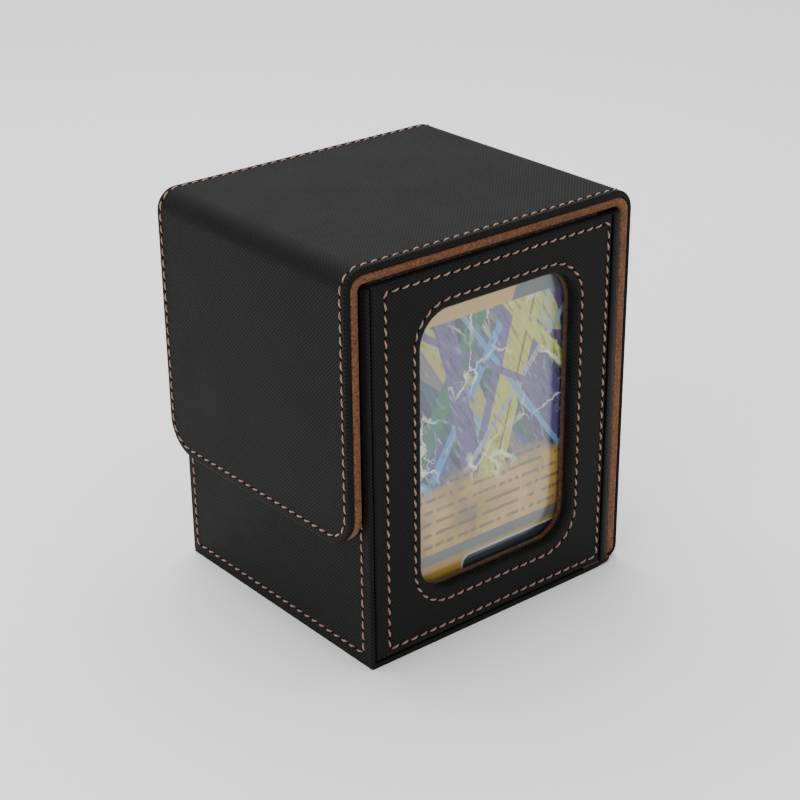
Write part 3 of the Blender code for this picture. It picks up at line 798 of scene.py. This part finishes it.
def strap_place(run, y, depth):
    """The point and outward normal at a run along the strap from the lid's middle, positive
    towards the spine, and at a depth below its outer face."""
    side = 1 if run > 0 else -1
    run = abs(run)
    if run < FOLD_X:
        return Vector((side * run, y, TOP - depth)), Vector((0, 0, 1))
    angle = (run - FOLD_X) / FOLD_ROUND
    if angle < pi / 2:
        up = Vector((side * sin(angle), 0, cos(angle)))
        return Vector((side * FOLD_X, y, FOLD_Z)) + up * (FOLD_ROUND - depth), up
    drop = run - FOLD_X - FOLD_LONG
    return Vector((side * (OUTER - depth), y, FOLD_Z - drop)), Vector((side, 0, 0))


def strap_run(point):
    """The run along the strap of a point in it, and its depth."""
    side = 1 if point.x > 0 else -1
    x, z = abs(point.x), point.z
    if z <= FOLD_Z and x > FOLD_X:
        return side * (FOLD_X + FOLD_LONG + FOLD_Z - z), OUTER - x
    if x <= FOLD_X:
        return side * x, TOP - z
    angle = atan2(x - FOLD_X, z - FOLD_Z)
    return side * (FOLD_X + FOLD_ROUND * angle), FOLD_ROUND - hypot(x - FOLD_X, z - FOLD_Z)


def unroll_grain(piece):
    """The grain's map in metres, laid along the strap as if it were unrolled."""
    mesh = piece.data
    while mesh.uv_layers:
        mesh.uv_layers.remove(mesh.uv_layers[0])
    grain = mesh.uv_layers.new(name="grain").data
    for face in mesh.polygons:
        side_edge = abs(face.normal.y) > 0.7
        outwards = strap_place(strap_run(face.center)[0], 0, 0)[1]
        foot_edge = not side_edge and abs(face.normal.dot(outwards)) < 0.5
        for corner in face.loop_indices:
            point = mesh.vertices[mesh.loops[corner].vertex_index].co
            run, depth = strap_run(point)
            grain[corner].uv = (run + depth if foot_edge else run,
                                point.y + depth if side_edge else point.y)


def flat_start(name, low, high):
    """A plane facing along X or Z between two corners, drawn in place."""
    bpy.ops.object.select_all(action="DESELECT")
    bpy.ops.mesh.primitive_plane_add(size=1.0)
    strip = bpy.context.object
    strip.name = name
    upright = near(low[0], high[0])
    if upright:
        strip.scale = (high[2] - low[2], high[1] - low[1], 1.0)
        strip.rotation_euler = (0, pi / 2, 0)
    else:
        strip.scale = (high[0] - low[0], high[1] - low[1], 1.0)
    strip.location = [(h + l) / 2 for l, h in zip(low, high)]
    bpy.ops.object.transform_apply(location=True, rotation=True, scale=True)
    return strip


def draw_on(strip, move):
    """Extrudes the selected edge by a straight move."""
    bpy.ops.mesh.extrude_region_move(TRANSFORM_OT_translate={"value": move})


def thicken(strip, thick):
    """Merges a strip's doubles, turns it outwards and gives it its thickness inwards."""
    only(strip)
    bpy.ops.object.mode_set(mode="EDIT")
    bpy.ops.mesh.select_all(action="SELECT")
    bpy.ops.mesh.remove_doubles(threshold=0.000005)
    bpy.ops.mesh.normals_make_consistent(inside=False)
    bpy.ops.object.mode_set(mode="OBJECT")
    face = max(strip.data.polygons, key=lambda polygon: polygon.area)
    if face.normal.dot(strap_place(strap_run(face.center)[0], 0, 0)[1]) < 0:
        bpy.ops.object.mode_set(mode="EDIT")
        bpy.ops.mesh.select_all(action="SELECT")
        bpy.ops.mesh.flip_normals()
        bpy.ops.object.mode_set(mode="OBJECT")
    shell = strip.modifiers.new("thickness", "SOLIDIFY")
    shell.thickness = thick
    shell.offset = -1.0
    shell.use_even_offset = True
    bpy.ops.object.modifier_apply(modifier=shell.name)
    return strip


def folded_strip(name, side, depth, thick, foot, corner):
    """From the lid's middle over one fold and down to its foot, with rounded foot corners."""
    low, high = sorted((0, side * FOLD_X))
    strip = flat_start(name, (low, STRAP_FRONT, TOP - depth), (high, STRAP_BACK, TOP - depth))
    pick_edges(strip, lambda a, b: near(abs(a.x), FOLD_X) and near(abs(b.x), FOLD_X))
    bpy.ops.mesh.spin(steps=14, angle=-side * pi / 2, center=(side * FOLD_X, 0, FOLD_Z),
                      axis=(0, 1, 0))
    draw_on(strip, (0, 0, foot - FOLD_Z))
    bpy.ops.object.mode_set(mode="OBJECT")
    if corner:
        pick_edges(strip, lambda a, b: near(a.z, foot) and near(b.z, foot))
        bpy.ops.mesh.bevel(offset=corner, segments=12, affect="VERTICES")
        bpy.ops.object.mode_set(mode="OBJECT")
    return thicken(strip, thick)


def spine_strip(name, depth, thick, under):
    """From the join over the crease and down to the box's foot, turned under it or not."""
    steps = 12
    x = OUTER - depth
    strip = flat_start(name, (x, STRAP_FRONT, CREASE + BEND), (x, STRAP_BACK, SPINE_JOIN))
    pick_edges(strip, lambda a, b: near(a.z, CREASE + BEND) and near(b.z, CREASE + BEND))
    for step in range(steps):
        draw_on(strip, (0, 0, -2 * BEND / steps))
    foot = BOTTOM_ROUND if under else SUEDE_FOOT
    draw_on(strip, (0, 0, foot - CREASE + BEND))
    if under:
        bpy.ops.mesh.spin(steps=8, angle=-pi / 2, axis=(0, 1, 0),
                          center=(OUTER - BOTTOM_ROUND, 0, BOTTOM_ROUND))
    bpy.ops.object.mode_set(mode="OBJECT")
    return thicken(strip, thick)


def thin_spine(strip, old, new):
    """Brings a layer's face from its depth on the lid to another on the spine, round the fold."""
    for vertex in strip.data.vertices:
        run, depth = strap_run(vertex.co)
        if run > FOLD_X and abs(depth - old) < 0.00003 and vertex.co.z > BOTTOM_ROUND - 0.00002:
            share = min(1.0, (run - FOLD_X) / FOLD_LONG)
            vertex.co = strap_place(run, vertex.co.y, old + (new - old) * share)[0]


def round_rim(strip, width, segments):
    """Rounds every sharp edge but those of the flat joins."""
    only(strip)
    bpy.ops.object.mode_set(mode="EDIT")
    bpy.ops.mesh.select_mode(type="EDGE")
    bpy.ops.mesh.select_all(action="DESELECT")
    bpy.ops.mesh.edges_select_sharp(sharpness=radians(50))
    bpy.ops.object.mode_set(mode="OBJECT")
    points = strip.data.vertices
    sharp = {tuple(tuple(points[end].co) for end in edge.vertices)
             for edge in strip.data.edges if edge.select}
    pick_edges(strip, lambda a, b: (tuple(a), tuple(b)) in sharp
               and not (near(a.x, 0) and near(b.x, 0))
               and not (near(a.z, SPINE_JOIN) and near(b.z, SPINE_JOIN)))
    bpy.ops.mesh.bevel(offset=width, segments=segments, affect="EDGES")
    bpy.ops.object.mode_set(mode="OBJECT")


def strap_row():
    """The closed row along the strap's edges, as runs and widths, finely stepped."""
    corner = ROW_CORNER
    near_y, far_y = STRAP_FRONT + ROW_INSET, STRAP_BACK - ROW_INSET
    flap_end = -(FOLD_X + FOLD_LONG + FOLD_Z - FLAP_FOOT - 0.0025)
    spine_end = FOLD_X + FOLD_LONG + FOLD_Z - BOTTOM_ROUND - 0.0015
    turns = [(spine_end, near_y, 0, 0), (flap_end + corner, near_y + corner, 270, 180),
             (flap_end + corner, far_y - corner, 180, 90), (spine_end, far_y, 0, 0)]
    path = []
    for run, y, start, end in turns:
        for step in range(9 if start != end else 1):
            angle = radians(start + (end - start) * step / 8)
            reach = corner if start != end else 0
            path.append((run + reach * cos(angle), y + reach * sin(angle)))
    fine = []
    for (run, y), (next_run, next_y) in zip(path, path[1:] + path[:1]):
        count = max(1, round(hypot(next_run - run, next_y - y) / 0.0012))
        fine += [(run + (next_run - run) * n / count, y + (next_y - y) * n / count)
                 for n in range(count)]
    return fine


JOIN_RUN = FOLD_X + FOLD_LONG + FOLD_Z - SPINE_JOIN
STRAP_NODES = {"spine": ("spine_lower", "spine_upper"), "lid": ("lid",), "flap": ("flap",)}
CROSSINGS = {
    "spine": ("box", "spine", (OUTER, 0, CREASE - BEND), (OUTER, 0, CREASE + BEND)),
    "lid": ("spine", "lid", (OUTER, 0, FOLD_Z), (FOLD_X, 0, TOP)),
    "flap": ("lid", "flap", (-FOLD_X - FOLD_LATE, 0, TOP - FOLD_LATE),
             (-OUTER - FOLD_LATE, 0, FOLD_Z - FOLD_LATE))}


def length_at(run):
    return "spine" if run > JOIN_RUN else "lid" if run > 0 else "flap"


def press_strap(strips, row, depth, inwards):
    """Presses the row's channel into the three lengths, each along its own share of it."""
    for where, strip in strips.items():
        share = [number for number, (run, y) in enumerate(row) if length_at(run) == where]
        breaks = [n for n in range(1, len(share)) if share[n] - share[n - 1] > 1]
        stretches = [share[a:b] for a, b in zip([0] + breaks, breaks + [len(share)])]
        if where == "spine" and len(stretches) == 2:
            stretches = [stretches[1] + stretches[0]]
        for stretch in stretches:
            ends = [(stretch[0] - 3) % len(row), (stretch[0] - 2) % len(row),
                    (stretch[0] - 1) % len(row)]
            beyond = [(stretch[-1] + n) % len(row) for n in (1, 2, 3)]
            path = []
            for number in ends + stretch + beyond:
                point, up = strap_place(*row[number], depth)
                path.append((point, -up if inwards else up))
            press_channel(strip, path, False)


def sew_strap(name, row, depth, inwards):
    """Sews a row along the whole strap, as one seam for each of its three lengths."""
    places = [strap_place(run, y, depth) for run, y in row]
    marks = spots([(point, -up if inwards else up) for point, up in places], True)
    for where, crossing in CROSSINGS.items():
        own = [(number, mark) for number, mark in enumerate(marks)
               if length_at(strap_run(mark[0])[0]) == where]
        seam = sew(f"{where}_{name}", [mark for _, mark in own], first=own[0][0])
        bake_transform(seam)


def hand_lengths(lengths, finish, slot, layer):
    """Maps and hands over one layer's three lengths and bakes each in place."""
    for where, length in lengths.items():
        unroll_grain(length)
        hand_over(length, finish, slot, None, *[f"{node}_{layer}" for node in STRAP_NODES[where]])
        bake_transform(length)


strap_leather = leather_finish("strap_leather", LEATHER_DARK, LEATHER_LIGHT, LEATHER_SHINE)
strips = {"spine": spine_strip("spine_leather", 0, SPINE_LEATHER_DEEP, under=True),
          "lid": folded_strip("lid_leather", 1, 0, LEATHER_DEEP, SPINE_JOIN, 0),
          "flap": folded_strip("flap_leather", -1, 0, LEATHER_DEEP, FLAP_FOOT, FLAP_CORNER)}
thin_spine(strips["lid"], LEATHER_DEEP, SPINE_LEATHER_DEEP)
skin_x = OUTER - 0.0008
inside = (STRAP_FRONT + RIM, STRAP_BACK - RIM)
pockets = {
    "spine": [((OUTER - 0.004, inside[0], BOTTOM_ROUND), (skin_x, inside[1], CREASE - RIM)),
              ((OUTER - 0.004, inside[0], CREASE + RIM), (skin_x, inside[1], SPINE_JOIN + RIM))],
    "lid": [((OUTER - 0.004, inside[0], SPINE_JOIN - RIM), (skin_x, inside[1], FOLD_Z)),
            ((-RIM, inside[0], TOP - 0.004), (FOLD_X, inside[1], TOP - 0.0008))],
    "flap": [((-FOLD_X, inside[0], TOP - 0.004), (RIM, inside[1], TOP - 0.0008)),
             ((-skin_x, inside[0], FLAP_FOOT + RIM), (0.004 - OUTER, inside[1], FOLD_Z))]}
for where, strip in strips.items():
    round_rim(strip, 0.00058, 4)
    for number, (corner_low, corner_high) in enumerate(pockets[where]):
        hollow = block("board_pocket", corner_low, corner_high)
        if where == "flap" and number == 1:
            soften(hollow, FLAP_CORNER - RIM, 8, lambda a, b: near(a.y, b.y) and near(a.z, b.z)
                   and near(a.z, FLAP_FOOT + RIM))
        carve(strip, hollow)
seam_row = strap_row()
press_strap(strips, seam_row, 0, inwards=False)
hand_lengths(strips, strap_leather, "strap_leather", "skin")
sew_strap("seam", seam_row, 0, inwards=False)

# ------------------------------------------------------------------ strap lining
# Brown suede glued over the strap's inside and sewn through with the leather, so that its cut
# edge shows as a brown band along the strap and its inner side has the same row of thread.
strap_suede = suede_finish("strap_suede", unrolled=True, shade=0.87)
lid_face, spine_face = LEATHER_DEEP + GLUE, SPINE_LEATHER_DEEP + GLUE
linings = {
    "spine": spine_strip("spine_suede", spine_face, SUEDE_DEEP - spine_face, under=False),
    "lid": folded_strip("lid_suede", 1, lid_face, SUEDE_DEEP - lid_face, SPINE_JOIN, 0),
    "flap": folded_strip("flap_suede", -1, lid_face, SUEDE_DEEP - lid_face, FLAP_FOOT,
                         FLAP_CORNER)}
thin_spine(linings["lid"], lid_face, spine_face)
soften(linings["spine"], 0.0019, 6, lambda a, b: near(a.z, SUEDE_FOOT) and near(b.z, SUEDE_FOOT)
       and near(a.x, OUTER - spine_face) and near(b.x, OUTER - spine_face))
for lining in linings.values():
    round_rim(lining, 0.0005, 3)
for where, room_low, room_high in (("spine", BOTTOM_ROUND, CREASE - RIM),
                                   ("spine", CREASE + RIM, SPINE_JOIN + RIM),
                                   ("lid", SPINE_JOIN - RIM, FOLD_Z)):
    carve(linings[where], block("board_room", (OUTER - lid_face, inside[0], room_low),
                                (OUTER, inside[1], room_high)))
press_strap(linings, seam_row, SUEDE_DEEP, inwards=True)
hand_lengths(linings, strap_suede, "suede", "lining")
sew_strap("inner_seam", seam_row, SUEDE_DEEP, inwards=True)
for pattern in (stitch, shade_bead):
    bpy.data.objects.remove(pattern, do_unlink=True)

# ------------------------------------------------------------------ floor, light and camera
# A plain pale floor under soft studio light, seen from the front left and a little above.
bpy.ops.object.select_all(action="DESELECT")
bpy.ops.mesh.primitive_plane_add(size=6.0)
floor = bpy.context.object
floor.name = "studio_floor"
pale, pale_sockets = new_finish("studio_floor", Roughness=0.9, Specular_IOR_Level=0.1)
floor_place = knot(pale, "TexCoord").outputs["Object"]
floor_tone = knot(pale, "TexNoise", {"Vector": floor_place, "Scale": 3.0})
attach(pale, ramp(pale, floor_tone.outputs["Fac"], (0.3, (0.94, 0.94, 0.94)),
                  (0.7, (0.95, 0.95, 0.95))), pale_sockets["Base Color"])
floor.data.materials.append(pale)

world = bpy.data.worlds.new("studio")
bpy.context.scene.world = world
world.use_nodes = True
world.node_tree.nodes["Background"].inputs["Color"].default_value = (1, 1, 1, 1)
world.node_tree.nodes["Background"].inputs["Strength"].default_value = 1.0


def softbox(name, place, size, power):
    """A square studio light aimed at the middle of the box."""
    data = bpy.data.lights.new(name, "AREA")
    data.energy = power
    data.size = size
    lamp = bpy.data.objects.new(name, data)
    bpy.context.scene.collection.objects.link(lamp)
    lamp.location = place
    lamp.rotation_euler = (Vector((0, 0, 0.06)) - Vector(place)).to_track_quat("-Z", "Y").to_euler()


softbox("top_light", (0.05, 0.25, 0.9), 0.7, 8.0)
softbox("left_light", (-0.9, -0.25, 0.45), 0.6, 3.0)

camera_data = bpy.data.cameras.new("camera")
camera_data.lens = 84.51
camera_data.sensor_width = 36.0
camera = bpy.data.objects.new("camera", camera_data)
bpy.context.scene.collection.objects.link(camera)
azimuth, elevation, roll = radians(-39.27), radians(25.03), radians(-0.57)
away = Vector((sin(azimuth) * cos(elevation), -cos(azimuth) * cos(elevation), sin(elevation)))
level_right = Vector((cos(azimuth), sin(azimuth), 0))
level_up = away.cross(level_right)
right_way = level_right * cos(roll) + level_up * sin(roll)
up_way = away.cross(right_way)
camera.rotation_euler = Matrix((right_way, up_way, away)).transposed().to_euler()
camera.location = right_way * -0.000035 + up_way * 0.045646 + away * 0.54775
camera_data.clip_start = 0.01
bpy.context.scene.camera = camera
